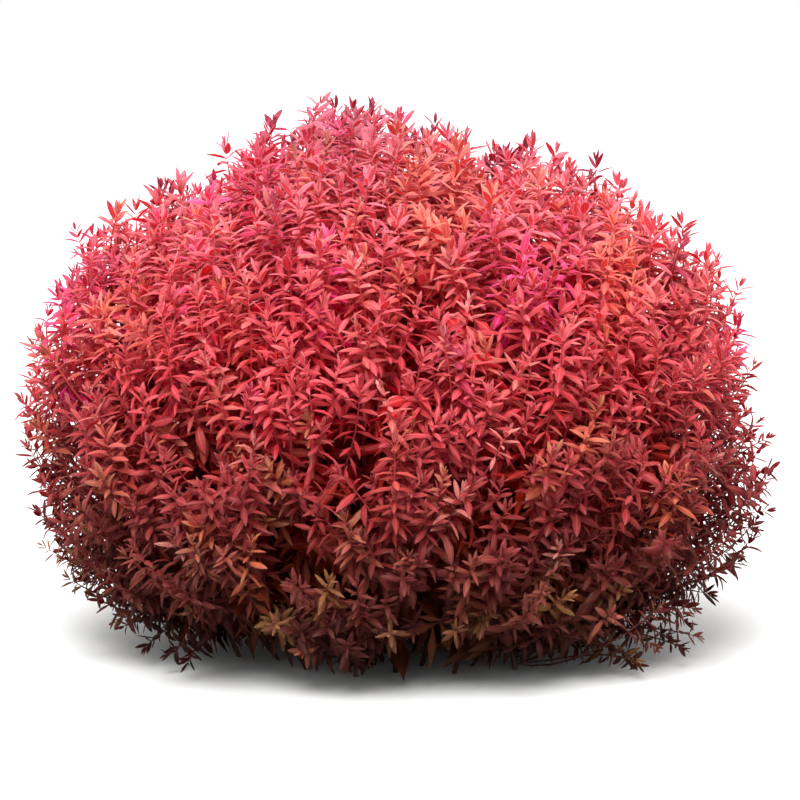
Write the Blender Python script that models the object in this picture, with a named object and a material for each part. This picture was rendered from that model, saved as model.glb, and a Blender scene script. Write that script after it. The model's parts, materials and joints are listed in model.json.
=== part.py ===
# A mound of red rotala, an aquarium stem plant: branching leafy stems that grew from one patch of
# ground and were cut off flat there. Metres, +Z up, front at -Y, origin on the ground at the middle.

import cmath
import math
import random

import bmesh
import bpy
import numpy as np
from mathutils import Matrix, Vector

# The mound that the shoot tips make
HALF_WIDTH = 0.185
HALF_DEPTH = 0.170
WIDEST_HEIGHT = 0.100
CROWN_RISE = 0.168
UNDERCUT_DROP = 0.133
LOWEST_TIP = 0.022
SQUARENESS = 2.2
TOP_TUFT_RISE = 0.012
TOP_TUFT_SHARE = 0.30
OUTLINE_STEPS = 400
MOUND_CENTRE = Vector((-0.0011, 0.0011, 0.0))

# Swells and dips of the crown from the left to the right: place, rise and spread, all along X
CROWN_SWELLS = (
    {"x": -0.160, "rise": 0.010, "spread": 0.018},
    {"x": -0.110, "rise": -0.014, "spread": 0.022},
    {"x": 0.045, "rise": -0.012, "spread": 0.016},
    {"x": 0.115, "rise": -0.018, "spread": 0.045},
)
UNEVENNESS = 0.004

# The stems and the shoots that they fork into
STEM_COUNT = 54
SHOOT_COUNT = 176
CROWN_CROWDING = 0.5
FOOT_PATCH_RADIUS = 0.092
RIM_LEAN = math.radians(95)
FORK_DEPTH = 0.060
STEM_RADIUS = 0.0016
STEM_STEP = 0.055
FORK_RADIUS = 0.0036
FORK_TOP_RADIUS = 0.0020
FORK_HEIGHT = 0.0045
SHOOT_RADIUS = 0.0019
MIDDLE_SHOOT_SHARE = 0.34
FEWEST_SIDES = 3

# The two leaf whorls of a shoot: distance below the tip, radius where its leaves part, leaf length
# and rise of the leaves from square to the shoot
OLD_WHORL = {"below_tip": 0.031, "heart": 0.0060, "leaf": 0.022, "rise": math.radians(2)}
YOUNG_WHORL = {"below_tip": 0.014, "heart": 0.0048, "leaf": 0.018, "rise": math.radians(46)}
BUD_LENGTH = 0.006
NECK_LENGTH = 0.004
LOWEST_WHORL_SHARE = 0.25
LEAF_GAP = 0.0024
GROUND_GAP = 0.0020
GOLDEN_TURN = math.pi * (3 - math.sqrt(5))
SEED = 11

# Leaves are coral at the crown, crimson down the sides and maroon at the rim: each finish goes to
# the stems up to this share of their count
FINISHES = {
    "coral_leaf": {"colour": (0.72, 0.10, 0.11), "up_to": 0.42},
    "crimson_leaf": {"colour": (0.42, 0.035, 0.05), "up_to": 0.78},
    "maroon_leaf": {"colour": (0.16, 0.025, 0.022), "up_to": 1.0},
}
LEAF_ROUGHNESS = 0.45

RIM_ANGLE = math.acos((LOWEST_TIP - WIDEST_HEIGHT) / UNDERCUT_DROP)


def outline(angle):
    """Share of the widest radius and the height, at this angle from the crown."""
    if angle > math.pi / 2:
        return math.sin(angle), WIDEST_HEIGHT + UNDERCUT_DROP * math.cos(angle)
    share = math.sin(angle) ** (2 / SQUARENESS)
    height = WIDEST_HEIGHT + CROWN_RISE * max(math.cos(angle), 0) ** (2 / SQUARENESS)
    return share, height + TOP_TUFT_RISE * math.exp(-((share / TOP_TUFT_SHARE) ** 2))


def spiral_places(count):
    """Angle from the crown and azimuth of places spread over the mound, closer at the crown."""
    angles = np.linspace(0, RIM_ANGLE, OUTLINE_STEPS)
    profile = np.array([outline(a) for a in angles])
    radii = profile[:, 0] * HALF_WIDTH
    steps = np.hypot(np.diff(radii), np.diff(profile[:, 1]))
    crowding = 1 + CROWN_CROWDING * np.maximum(np.cos(angles[1:]), 0)
    area = np.concatenate([[0], np.cumsum(steps * crowding * (radii[1:] + radii[:-1]) / 2)])
    shares = (np.arange(count) + 0.5) / count
    found = np.interp(shares * area[-1], area, angles)
    return [(float(a), i * GOLDEN_TURN) for i, a in enumerate(found)]


def swell(x):
    return sum(s["rise"] * math.exp(-(((x - s["x"]) / s["spread"]) ** 2)) for s in CROWN_SWELLS)


def on_mound(angle, azimuth):
    share, height = outline(angle)
    x = HALF_WIDTH * math.cos(azimuth) * share
    y = HALF_DEPTH * math.sin(azimuth) * share
    raised = max(height - WIDEST_HEIGHT, 0) / CROWN_RISE
    return MOUND_CENTRE + Vector((x, y, height + swell(x) * raised))


def growth_way(angle, azimuth):
    """Shoots stand upright at the crown and lean out until they lie level at the rim."""
    lean = RIM_LEAN * (angle / RIM_ANGLE) ** 2
    return Vector(
        (math.sin(lean) * math.cos(azimuth), math.sin(lean) * math.sin(azimuth), math.cos(lean))
    )


def foot_place(index, azimuth):
    radius = FOOT_PATCH_RADIUS * math.sqrt((index + 0.5) / STEM_COUNT)
    return MOUND_CENTRE + radius * Vector(
        (math.cos(azimuth), math.sin(azimuth) * HALF_DEPTH / HALF_WIDTH, 0)
    )


def bend(start, end, way, share):
    """A point of a bend that comes to its end in the growth direction."""
    middle = end - way * (end - start).length / 2
    return start * (1 - share) ** 2 + middle * (2 * share * (1 - share)) + end * share**2


def bend_way(start, end, way, share):
    middle = end - way * (end - start).length / 2
    return ((middle - start) * (1 - share) + (end - middle) * share).normalized()


def stem_route(foot, fork, way):
    pieces = max(2, round((fork - foot).length / STEM_STEP))
    return [bend(foot, fork, way, step / pieces) for step in range(pieces + 1)]


def plan_stems():
    """Every stem's route and its shoots, each shoot on the stem nearest to its tip."""
    luck = random.Random(SEED)
    middles = spiral_places(STEM_COUNT)
    places = np.array([on_mound(*m) for m in middles])
    stems = []
    for index, (angle, azimuth) in enumerate(middles):
        way = growth_way(angle, azimuth)
        fork = on_mound(angle, azimuth) - way * FORK_DEPTH
        foot = foot_place(index, azimuth)
        stems.append({"way": way, "route": stem_route(foot, fork, way), "shoots": []})
    for number, (angle, azimuth) in enumerate(spiral_places(SHOOT_COUNT)):
        way = growth_way(angle, azimuth)
        tip = on_mound(angle, azimuth) + way * luck.uniform(-UNEVENNESS, UNEVENNESS)
        nearest = int(np.argmin(np.linalg.norm(places - np.array(tip), axis=1)))
        stems[nearest]["shoots"].append({"number": number, "tip": tip, "way": way})
    return stems


def whorl_place(start, shoot, whorl):
    """Where a whorl sits on a shoot, and which way the shoot runs there."""
    tip, way = shoot["tip"], shoot["way"]
    share = max(1 - whorl["below_tip"] / (tip - start).length, LOWEST_WHORL_SHARE)
    return bend(start, tip, way, share), bend_way(start, tip, way, share)


class Axes:
    """The middle lines of all stems and shoots, for how far a leaf can reach between them."""

    def __init__(self, stems):
        lines, owners = [], []
        for stem in stems:
            route = stem["route"]
            lines += zip(route[:-1], route[1:])
            owners += [None] * (len(route) - 1)
            for shoot in stem["shoots"]:
                whorls = [whorl_place(route[-1], shoot, w)[0] for w in (OLD_WHORL, YOUNG_WHORL)]
                points = [route[-1], *whorls, shoot["tip"]]
                lines += zip(points[:-1], points[1:])
                owners += [shoot["number"]] * (len(points) - 1)
        self.start = np.array([a for a, _ in lines])
        self.span = np.array([b - a for a, b in lines])
        self.square = (self.span**2).sum(axis=1)
        self.owners = np.array(owners, dtype=object)

    def margin(self, point, shoot):
        """How much nearer a point is to its own shoot than to any other stem or shoot."""
        offset = np.array(point) - self.start
        share = np.clip((offset * self.span).sum(axis=1) / self.square, 0, 1)
        near = np.linalg.norm(offset - self.span * share[:, None], axis=1)
        own = self.owners == shoot["number"]
        return near[~own].min() - near[own].min()

    def reach(self, base, way, longest, shoot):
        """The furthest way out that stays nearer to its own shoot than to any other."""
        found = longest
        while found > SHOOT_RADIUS:
            end = base + way * found
            if self.margin(end, shoot) > LEAF_GAP and end.z > GROUND_GAP:
                break
            found -= LEAF_GAP / 2
        return found


def ring_for(face, centre, way, radius, turn=0.0):
    """An even ring of points round a direction, in the order of the face's corners."""
    across = way.orthogonal().normalized()
    over = way.cross(across)
    middle = face.calc_center_median()
    step = math.tau / len(face.verts)
    total = 0
    for corner, vert in enumerate(face.verts):
        offset = vert.co - middle
        total += cmath.rect(1, math.atan2(offset.dot(over), offset.dot(across)) - corner * step)
    first = cmath.phase(total) + turn
    return [
        centre + radius * (math.cos(first + i * step) * across + math.sin(first + i * step) * over)
        for i in range(len(face.verts))
    ]


def grow(bm, face, centre, way, radius, turn=0.0):
    """Extrudes a face to a ring further on, and returns the new end face."""
    ring = ring_for(face, centre, way, radius, turn)
    end = bmesh.ops.extrude_discrete_faces(bm, faces=[face])["faces"][0]
    for vert, place in zip(end.verts, ring):
        vert.co = place
    return end


def sides_of(end):
    return [f for edge in end.edges for f in edge.link_faces if f is not end]


def draw_out_leaves(bm, edges, centre, way, whorl, shoot, axes):
    """Draws the middle of each edge of a ring out into a pointed leaf."""
    parted = bmesh.ops.subdivide_edges(bm, edges=edges, cuts=1, use_single_edge=True)
    for vert in [g for g in parted["geom_inner"] if isinstance(g, bmesh.types.BMVert)]:
        outward = vert.co - centre
        outward = (outward - way * outward.dot(way)).normalized()
        leaf_way = outward * math.cos(whorl["rise"]) + way * math.sin(whorl["rise"])
        vert.co = centre + leaf_way * axes.reach(centre, leaf_way, whorl["leaf"], shoot)


def grow_heart(bm, face, centre, way, whorl, shoot, axes, turn=0.0):
    """The ring that a whorl's leaves part from, as wide as the neighbours leave room for."""
    corners = [place - centre for place in ring_for(face, centre, way, 1, turn)]
    radius = min(axes.reach(centre, corner, whorl["heart"], shoot) for corner in corners)
    return grow(bm, face, centre, way, radius, turn)


def add_shoot(bm, face, shoot, axes):
    """A shoot from a face of the fork, with spread old leaves and upright young ones round a bud."""
    start = face.calc_center_median()
    centre, way = whorl_place(start, shoot, OLD_WHORL)
    face = grow(bm, face, centre - way * NECK_LENGTH, way, SHOOT_RADIUS)
    face = grow_heart(bm, face, centre, way, OLD_WHORL, shoot, axes)
    old_edges, old_centre, old_way = list(face.edges), centre, way

    centre, way = whorl_place(start, shoot, YOUNG_WHORL)
    face = grow(bm, face, centre - way * NECK_LENGTH, way, SHOOT_RADIUS)
    draw_out_leaves(bm, old_edges, old_centre, old_way, OLD_WHORL, shoot, axes)
    half_turn = math.pi / len(face.edges)
    face = grow_heart(bm, face, centre, way, YOUNG_WHORL, shoot, axes, half_turn)
    young_edges = list(face.edges)
    bud = bmesh.ops.poke(bm, faces=[face])["verts"][0]
    bud.co = centre + way * BUD_LENGTH
    draw_out_leaves(bm, young_edges, centre, way, YOUNG_WHORL, shoot, axes)


def turn_and_offset(point, fork, way):
    """The turn of a point round the stem, and how far it lies to the side of it."""
    across = way.orthogonal().normalized()
    over = way.cross(across)
    x, y = (point - fork).dot(across), (point - fork).dot(over)
    return math.atan2(y, x), math.hypot(x, y)


def sort_shoots(shoots, fork, way):
    """The middle shoot, if there is one, and the others in order round the stem."""
    found = sorted(shoots, key=lambda shoot: turn_and_offset(shoot["tip"], fork, way)[1])
    offsets = [turn_and_offset(shoot["tip"], fork, way)[1] for shoot in found]
    middle = None
    if len(found) > FEWEST_SIDES and offsets[0] < offsets[-1] * MIDDLE_SHOOT_SHARE:
        middle = found.pop(0)
    return middle, sorted(found, key=lambda shoot: turn_and_offset(shoot["tip"], fork, way)[0])


def share_out_faces(faces, shoots, fork, way):
    """A side of the fork for each shoot, in the same order round the stem so that none cross, and
    how far the fork has to turn for its sides to face them."""
    faces = sorted(faces, key=lambda f: turn_and_offset(f.calc_center_median(), fork, way)[0])
    face_turns = [turn_and_offset(f.calc_center_median(), fork, way)[0] for f in faces]
    shoot_turns = [turn_and_offset(shoot["tip"], fork, way)[0] for shoot in shoots]
    misses = []
    for first in range(len(faces)):
        pairs = zip(shoot_turns, face_turns[first:] + face_turns[:first])
        misses.append(sum(cmath.rect(1, a - b) for a, b in pairs))
    first = max(range(len(faces)), key=lambda i: misses[i].real)
    return zip(shoots, faces[first:] + faces[:first]), cmath.phase(misses[first])


def stem_mesh(name, stem, axes):
    route, way = stem["route"], stem["way"]
    middle, around = sort_shoots(stem["shoots"], route[-1], way)
    sides = max(FEWEST_SIDES, len(around))
    bm = bmesh.new()
    bmesh.ops.create_cone(
        bm, cap_ends=True, segments=sides, radius1=STEM_RADIUS, radius2=STEM_RADIUS, depth=STEM_RADIUS
    )
    bmesh.ops.translate(bm, verts=bm.verts, vec=route[0] + Vector((0, 0, STEM_RADIUS / 2)))
    end = max(bm.faces, key=lambda f: f.calc_center_median().z)
    for before, centre, after in zip(route, route[1:], route[2:]):
        end = grow(bm, end, centre, (after - before).normalized(), STEM_RADIUS)
    fork = route[-1]
    end = grow(bm, end, fork - way * FORK_HEIGHT, way, FORK_RADIUS)
    end = grow(bm, end, fork, way, FORK_TOP_RADIUS)
    pairs, turn = share_out_faces(sides_of(end), around, fork, way)
    crotch = {vert for face in sides_of(end) for vert in face.verts}
    bmesh.ops.rotate(bm, verts=list(crotch), cent=fork, matrix=Matrix.Rotation(turn, 3, way))
    for shoot, face in pairs:
        add_shoot(bm, face, shoot, axes)
    if middle:
        add_shoot(bm, end, middle, axes)
    bmesh.ops.triangulate(bm, faces=bm.faces)
    mesh = bpy.data.meshes.new(name)
    bm.to_mesh(mesh)
    bm.free()
    return mesh


def leaf_material(name):
    material = bpy.data.materials.new(name)
    material.use_nodes = True
    shader = material.node_tree.nodes["Principled BSDF"]
    shader.inputs["Base Color"].default_value = (*FINISHES[name]["colour"], 1)
    shader.inputs["Roughness"].default_value = LEAF_ROUGHNESS
    return material


def finish_of(index):
    return next(name for name, f in FINISHES.items() if index / STEM_COUNT < f["up_to"])


def main():
    for thing in list(bpy.data.objects):
        bpy.data.objects.remove(thing)
    materials = {name: leaf_material(name) for name in FINISHES}
    stems = plan_stems()
    axes = Axes(stems)
    for index, stem in enumerate(stems):
        name = f"leafy_stem_{index + 1:02d}"
        mesh = stem_mesh(name, stem, axes)
        mesh.materials.append(materials[finish_of(index)])
        bpy.context.scene.collection.objects.link(bpy.data.objects.new(name, mesh))


main()
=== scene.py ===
import json
import math

import bmesh
import bpy
import numpy as np
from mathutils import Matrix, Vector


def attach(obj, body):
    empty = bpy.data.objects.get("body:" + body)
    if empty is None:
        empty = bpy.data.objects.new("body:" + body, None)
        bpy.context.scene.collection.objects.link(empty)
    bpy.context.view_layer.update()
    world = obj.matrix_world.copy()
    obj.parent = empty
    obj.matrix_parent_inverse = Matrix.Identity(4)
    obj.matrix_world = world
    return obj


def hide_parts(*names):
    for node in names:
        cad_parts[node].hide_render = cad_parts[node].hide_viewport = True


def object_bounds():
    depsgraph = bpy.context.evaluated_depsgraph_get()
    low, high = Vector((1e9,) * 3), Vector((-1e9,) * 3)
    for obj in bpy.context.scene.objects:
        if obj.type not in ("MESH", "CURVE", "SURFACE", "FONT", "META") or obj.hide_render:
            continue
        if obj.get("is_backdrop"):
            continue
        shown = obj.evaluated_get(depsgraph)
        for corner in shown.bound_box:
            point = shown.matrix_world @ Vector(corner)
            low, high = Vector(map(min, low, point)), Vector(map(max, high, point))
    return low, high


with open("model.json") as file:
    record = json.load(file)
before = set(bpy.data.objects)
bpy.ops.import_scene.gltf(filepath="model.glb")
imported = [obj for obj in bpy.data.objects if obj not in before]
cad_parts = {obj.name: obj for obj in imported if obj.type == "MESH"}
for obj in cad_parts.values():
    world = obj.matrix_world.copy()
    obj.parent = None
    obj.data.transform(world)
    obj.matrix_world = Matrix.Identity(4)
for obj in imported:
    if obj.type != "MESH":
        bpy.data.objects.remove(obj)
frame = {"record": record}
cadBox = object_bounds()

# A mound of red rotala: 54 branching stems, each one mesh with its side shoots and leaves.
# Metres, +Z up, front at -Y. A leaf is made once at each of three levels of detail, and these
# forms are laid out along every shoot.

# The mound's surface, the same as that of its solids
mound = {
    "halfWidth": 0.185,
    "halfDepth": 0.170,
    "widestHeight": 0.100,
    "crownRise": 0.168,
    "undercutDrop": 0.133,
    "lowestTip": 0.022,
    "squareness": 2.2,
    "topTuftRise": 0.012,
    "topTuftShare": 0.30,
    "centre": (-0.0011, 0.0011, 0.0),
    "crownCrowding": 0.5,
    "rimLean": math.radians(95),
    "outlineSteps": 400,
}

# Swells and dips of the crown along X: of the stems' tops, and of the finer outline of the tips
stemSwells = (
    {"x": -0.160, "rise": 0.010, "spread": 0.018},
    {"x": -0.110, "rise": -0.014, "spread": 0.022},
    {"x": 0.045, "rise": -0.012, "spread": 0.016},
    {"x": 0.115, "rise": -0.018, "spread": 0.045},
)
tipSwells = (
    {"x": -0.166, "rise": 0.024, "spread": 0.017},
    {"x": -0.146, "rise": 0.009, "spread": 0.012},
    {"x": -0.096, "rise": -0.006, "spread": 0.018},
    {"x": -0.066, "rise": 0.002, "spread": 0.009},
    {"x": -0.032, "rise": 0.006, "spread": 0.016},
    {"x": 0.018, "rise": -0.004, "spread": 0.014},
    {"x": 0.044, "rise": -0.017, "spread": 0.016},
    {"x": 0.082, "rise": -0.002, "spread": 0.012},
    {"x": 0.106, "rise": 0.005, "spread": 0.010},
    {"x": 0.132, "rise": -0.008, "spread": 0.012},
    {"x": 0.168, "rise": 0.022, "spread": 0.016},
)

# The main stems, foot to fork
stems = {
    "count": 54,
    "footPatchRadius": 0.092,
    "forkDepth": 0.060,  # below the mound's surface
    "leanPower": 2,
    "footRadius": 0.0013,
    "forkRadius": 0.0010,
    "sides": 5,
    "rings": 12,
    "bareFoot": 0.020,
    "bareTop": 0.004,  # below the fork
    "leafSpacing": 0.0046,
    "leafSize": 1.66,  # over a shoot's leaves
}

# The shoots, and the leaf pairs down each of them
shoots = {
    "count": 1400,
    "thinning": 0.50,  # share left out in front and behind at the ground, fading to none at thinBelow
    "thinBelow": 0.085,
    "boxGap": (0.006, 0.006, 0.004),  # from a tip to the sides and top of the solids' box
    "lowestTip": 0.020,
    "strayShare": 0.07,  # shoots that stand out of the mound, and how far
    "strayReach": 0.009,
    "inset": 0.0034,  # from the mound's surface to the highest tips
    "deepestTip": 0.012,  # how far below those a tip may end
    "looseFront": 0.020,  # added to that at the mound's widest
    "looseSides": 0.012,  # and added to that on the left and right
    "looseAngle": math.radians(92),
    "looseSpread": math.radians(24),
    "depthPower": 1.5,
    "openShare": 0.55,  # of the shoots on the left and right: they stand out on bare stems
    "openReach": (-0.006, 0.008),
    "openPairs": (7, 12),
    "clumpDepth": 0.013,
    "clumping": 0.18,
    "placeJitter": 0.0055,
    "sizeJitter": 0.14,
    "sizeJitterLimits": (-1.6, 1.4),  # times that
    "sizeHeights": (0, 0.10, 0.18, 0.25),  # how large the leaves are at each of these
    "sizeShares": (0.80, 0.91, 0.97, 1.09),
    "leanPower": 3.2,  # more keeps the tips more upright, but for the lowest
    "leanJitter": math.radians(13),
    "branchReach": 0.062,  # length of stem below the fork that shoots leave from
    "branchChance": 0.25,  # the share of that place that is chance, the rest is how far out it ends
    "shortest": 0.018,
    "footRadius": 0.000775,
    "tipRadius": 0.000372,
    "sides": 3,
    "rings": 7,
    "pairs": 22,
    "bareFoot": 0.006,
    "firstPair": 0.0009,  # below the tip
    "firstGap": 0.0018,
    "gapGrowth": 0.00014,
    "quarterJitter": math.radians(11),
    "steepest": math.radians(74),
    "levelAfter": 3.9,  # pairs
    "levelPower": 1.3,
    "oldDroop": math.radians(-8),
    "riseJitter": math.radians(9),
    "longestLeaf": 0.0118,
    "leafStart": 1.1,  # pairs
    "leafGrowth": 2.2,
    "lengthJitter": 0.15,
    "youngCurl": -0.25,
    "oldCurl": 0.75,
    "curlAfter": 2.5,  # pairs
    "curlJitter": 0.28,
    "twistJitter": math.radians(16),
}

# Where the right side draws in a little
sideDip = {"beyond": 0.14, "height": 0.130, "spread": 0.016, "depth": 0.011}

# Single sprays that stand out of the mound: tips, the way they grow, and their tint
sprays = (
    # left side, from the top down
    {"tip": (-0.184, 0.010, 0.135), "way": (-0.5, 0.0, 0.9)},
    {"tip": (-0.187, -0.012, 0.127), "way": (-0.6, -0.1, 0.8)},
    {"tip": (-0.186, 0.006, 0.116), "way": (-0.9, 0.0, 0.4)},
    {"tip": (-0.188, 0.024, 0.108), "way": (-0.8, 0.2, 0.6)},
    {"tip": (-0.182, -0.006, 0.092), "way": (-1.0, 0.0, 0.2)},
    {"tip": (-0.174, 0.010, 0.074), "way": (-1.0, -0.2, 0.1)},
    {"tip": (-0.175, -0.004, 0.062), "way": (-0.9, 0.0, -0.2)},
    {"tip": (-0.171, 0.006, 0.046), "way": (-1.0, 0.1, -0.1)},
    {"tip": (-0.159, -0.006, 0.034), "way": (-1.0, -0.1, -0.1)},
    {"tip": (-0.148, 0.004, 0.024), "way": (-1.0, 0.1, 0.0)},
    # right side, from the top down
    {"tip": (0.170, -0.004, 0.148), "way": (0.5, 0.0, 0.9)},
    {"tip": (0.172, 0.012, 0.130), "way": (0.6, 0.1, 0.8)},
    {"tip": (0.187, 0.000, 0.106), "way": (0.9, 0.1, 0.5)},
    {"tip": (0.188, -0.012, 0.092), "way": (0.9, 0.0, 0.4)},
    {"tip": (0.187, 0.010, 0.080), "way": (1.0, 0.2, 0.3)},
    {"tip": (0.188, -0.004, 0.069), "way": (1.0, -0.1, 0.1)},
    {"tip": (0.183, 0.006, 0.057), "way": (0.9, -0.1, -0.2)},
    {"tip": (0.171, -0.006, 0.046), "way": (0.9, 0.1, -0.2)},
    {"tip": (0.160, 0.008, 0.037), "way": (1.0, -0.1, 0.0)},
    {"tip": (0.158, -0.010, 0.027), "way": (0.9, -0.2, -0.2)},
    # low on the left
    {"tip": (-0.141, -0.020, 0.015), "way": (-0.8, -0.2, -0.5)},
    {"tip": (-0.137, -0.040, 0.016), "way": (-0.9, -0.5, -0.3)},
    {"tip": (-0.123, -0.058, 0.010), "way": (-0.6, -0.5, -0.6)},
    {"tip": (-0.112, -0.074, 0.010), "way": (-0.8, -0.8, -0.3)},
    {"tip": (-0.101, -0.090, 0.008), "way": (-0.3, -0.8, -0.5)},
    # low on the right
    {"tip": (0.104, -0.078, 0.011), "way": (0.2, -0.8, -0.5)},
    {"tip": (0.115, -0.086, 0.009), "way": (0.6, -0.7, -0.4)},
    {"tip": (0.126, -0.066, 0.011), "way": (0.5, -0.8, -0.6)},
    {"tip": (0.133, -0.050, 0.014), "way": (1.0, -0.2, -0.4)},
    {"tip": (0.146, -0.030, 0.015), "way": (0.7, -0.5, -0.6)},
    {"tip": (0.150, -0.014, 0.020), "way": (1.0, 0.1, -0.3)},
    {"tip": (0.150, -0.045, 0.012), "way": (0.8, -0.4, -0.2)},
    {"tip": (0.141, -0.062, 0.010), "way": (0.7, -0.7, -0.2)},
    {"tip": (0.117, -0.090, 0.007), "way": (0.3, -0.9, -0.2)},
    # along the crown, from left to right
    {"tip": (-0.169, 0.006, 0.181), "way": (-0.6, 0.0, 0.8)},
    {"tip": (-0.161, 0.012, 0.209), "way": (-0.3, 0.1, 1.0), "accent": "cherry"},
    {"tip": (-0.148, -0.004, 0.208), "way": (0.2, 0.0, 1.0), "accent": "cherry"},
    {"tip": (-0.130, 0.006, 0.221), "way": (0.0, 0.0, 1.0)},
    {"tip": (-0.116, 0.014, 0.222), "way": (-0.1, 0.1, 1.0)},
    {"tip": (-0.099, 0.004, 0.229), "way": (0.0, 0.0, 1.0), "accent": "cherry"},
    {"tip": (-0.077, 0.020, 0.245), "way": (-0.3, 0.1, 1.0), "accent": "cherry"},
    {"tip": (-0.067, 0.008, 0.249), "way": (0.0, 0.0, 1.0), "accent": "cherry"},
    {"tip": (-0.057, 0.018, 0.251), "way": (0.3, 0.0, 1.0), "accent": "cherry"},
    {"tip": (-0.032, 0.010, 0.266), "way": (-0.1, 0.0, 1.0), "accent": "cherry"},
    {"tip": (-0.022, 0.016, 0.270), "way": (0.0, 0.1, 1.0), "accent": "purple"},
    {"tip": (-0.012, 0.008, 0.270), "way": (0.2, 0.0, 1.0), "accent": "purple"},
    {"tip": (0.002, 0.000, 0.268), "way": (0.1, 0.0, 1.0), "accent": "cherry"},
    {"tip": (0.019, 0.012, 0.262), "way": (0.1, 0.1, 1.0), "accent": "purple"},
    {"tip": (0.034, 0.000, 0.256), "way": (0.1, 0.0, 1.0)},
    {"tip": (0.050, 0.022, 0.246), "way": (0.1, 0.2, 1.0), "accent": "purple"},
    {"tip": (0.067, 0.004, 0.254), "way": (0.0, 0.0, 1.0)},
    {"tip": (0.080, 0.014, 0.249), "way": (0.3, 0.1, 1.0)},
    {"tip": (0.099, 0.010, 0.244), "way": (0.0, 0.1, 1.0), "accent": "purple"},
    {"tip": (0.111, 0.002, 0.232), "way": (0.2, 0.0, 1.0), "accent": "cherry"},
    {"tip": (0.122, 0.010, 0.204), "way": (0.4, 0.1, 1.0), "accent": "cherry"},
    {"tip": (0.137, 0.000, 0.207), "way": (0.2, 0.0, 1.0)},
    {"tip": (0.151, 0.008, 0.196), "way": (0.5, 0.1, 1.0), "accent": "cherry"},
    {"tip": (0.172, 0.004, 0.183), "way": (0.4, 0.0, 1.0)},
)

# Shaded side shoots low on the main stems
sideShoots = {
    "bareFoot": 0.030,
    "spacing": 0.0062,
    "turnAlongX": 1000,  # turns each stem's first side shoot another way, radians a metre
    "facingRise": 0.1,
    "lean": math.radians(62),
    "upturn": 0.6,
    "length": (0.030, 0.050),
    "pairs": 11,
    "youngest": 14,  # their leaves are as old as those from this pair on
    "leafSize": 1.50,
    "widestShare": 0.84,
    "lowest": 0.016,
}

# One leaf: where its cross rings sit, how wide it is there, and its section
leaf = {
    # fewer rings deeper in the mound, by the pair that the form serves up to
    "forms": (
        {"upTo": 4, "rings": ((0.10, 0.50), (0.32, 0.94), (0.62, 0.94), (0.87, 0.50))},
        {"upTo": 11, "rings": ((0.18, 0.70), (0.50, 1.0), (0.82, 0.58))},
        {"upTo": 99, "rings": ((0.48, 1.0),)},
    ),
    "slimness": 0.285,  # widest width over length
    "slimnessJitter": 0.16,
    "ownTone": 0.45,  # how far a leaf's lightness is its own, the rest is its shoot's
    "thickness": 0.00026,  # at the midrib, besides the fold
    "fold": math.radians(15),
    "leastCurl": 0.001,
    "sharpFrom": math.radians(60),  # between faces that are shaded apart
    "restHeight": 0.007,  # below this, leaves and shoots bend so as to lie on the ground
    "groundGap": 0.0006,  # and this near to it
}

seed = 23
chance = np.random.default_rng(seed)
goldenTurn = math.pi * (3 - math.sqrt(5))
tubeAcross = (0.31, 0.87, 0.38)  # any ways that no shoot grows: turns around a shoot start from them
leafAcross = (0.62, 0.21, 0.75)
rimAngle = math.acos((mound["lowestTip"] - mound["widestHeight"]) / mound["undercutDrop"])


def unit(vectors):
    return vectors / np.maximum(np.linalg.norm(vectors, axis=-1, keepdims=True), 1e-12)


# The mound's surface

def outline(angle):
    # share of the widest radius and height, at this angle from the crown
    if angle > math.pi / 2:
        return math.sin(angle), mound["widestHeight"] + mound["undercutDrop"] * math.cos(angle)
    power = 2 / mound["squareness"]
    share = math.sin(angle) ** power
    height = mound["widestHeight"] + mound["crownRise"] * max(math.cos(angle), 0) ** power
    tuft = mound["topTuftRise"] * math.exp(-((share / mound["topTuftShare"]) ** 2))
    return share, height + tuft


def spiralPlaces(count):
    angles = np.linspace(0, rimAngle, mound["outlineSteps"])
    profile = np.array([outline(a) for a in angles])
    radii = profile[:, 0] * mound["halfWidth"]
    steps = np.hypot(np.diff(radii), np.diff(profile[:, 1]))
    crowding = 1 + mound["crownCrowding"] * np.maximum(np.cos(angles[1:]), 0)
    area = np.concatenate([[0], np.cumsum(steps * crowding * (radii[1:] + radii[:-1]) / 2)])
    shares = (np.arange(count) + 0.5) / count
    found = np.interp(shares * area[-1], area, angles)
    return [(float(a), i * goldenTurn) for i, a in enumerate(found)]


def swell(x, swells):
    return sum(s["rise"] * math.exp(-(((x - s["x"]) / s["spread"]) ** 2)) for s in swells)


def onMound(angle, azimuth, swells):
    share, height = outline(angle)
    x = mound["halfWidth"] * math.cos(azimuth) * share
    y = mound["halfDepth"] * math.sin(azimuth) * share
    raised = max(height - mound["widestHeight"], 0) / mound["crownRise"]
    return np.array(mound["centre"]) + (x, y, height + swell(x, swells) * raised)


def growthWay(angle, azimuth, bend):
    lean = mound["rimLean"] * (angle / rimAngle) ** bend
    return np.array(
        (math.sin(lean) * math.cos(azimuth), math.sin(lean) * math.sin(azimuth), math.cos(lean))
    )


def footPlace(index, azimuth):
    radius = stems["footPatchRadius"] * math.sqrt((index + 0.5) / stems["count"])
    squeeze = mound["halfDepth"] / mound["halfWidth"]
    return np.array(mound["centre"]) + radius * np.array(
        (math.cos(azimuth), math.sin(azimuth) * squeeze, 0)
    )


def bendCurve(start, end, way, count=25):
    # points of a bend that comes to its end in the growth direction
    middle = end - way * np.linalg.norm(end - start) / 2
    share = np.linspace(0, 1, count)[:, None]
    return start * (1 - share) ** 2 + middle * (2 * share * (1 - share)) + end * share**2


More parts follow.
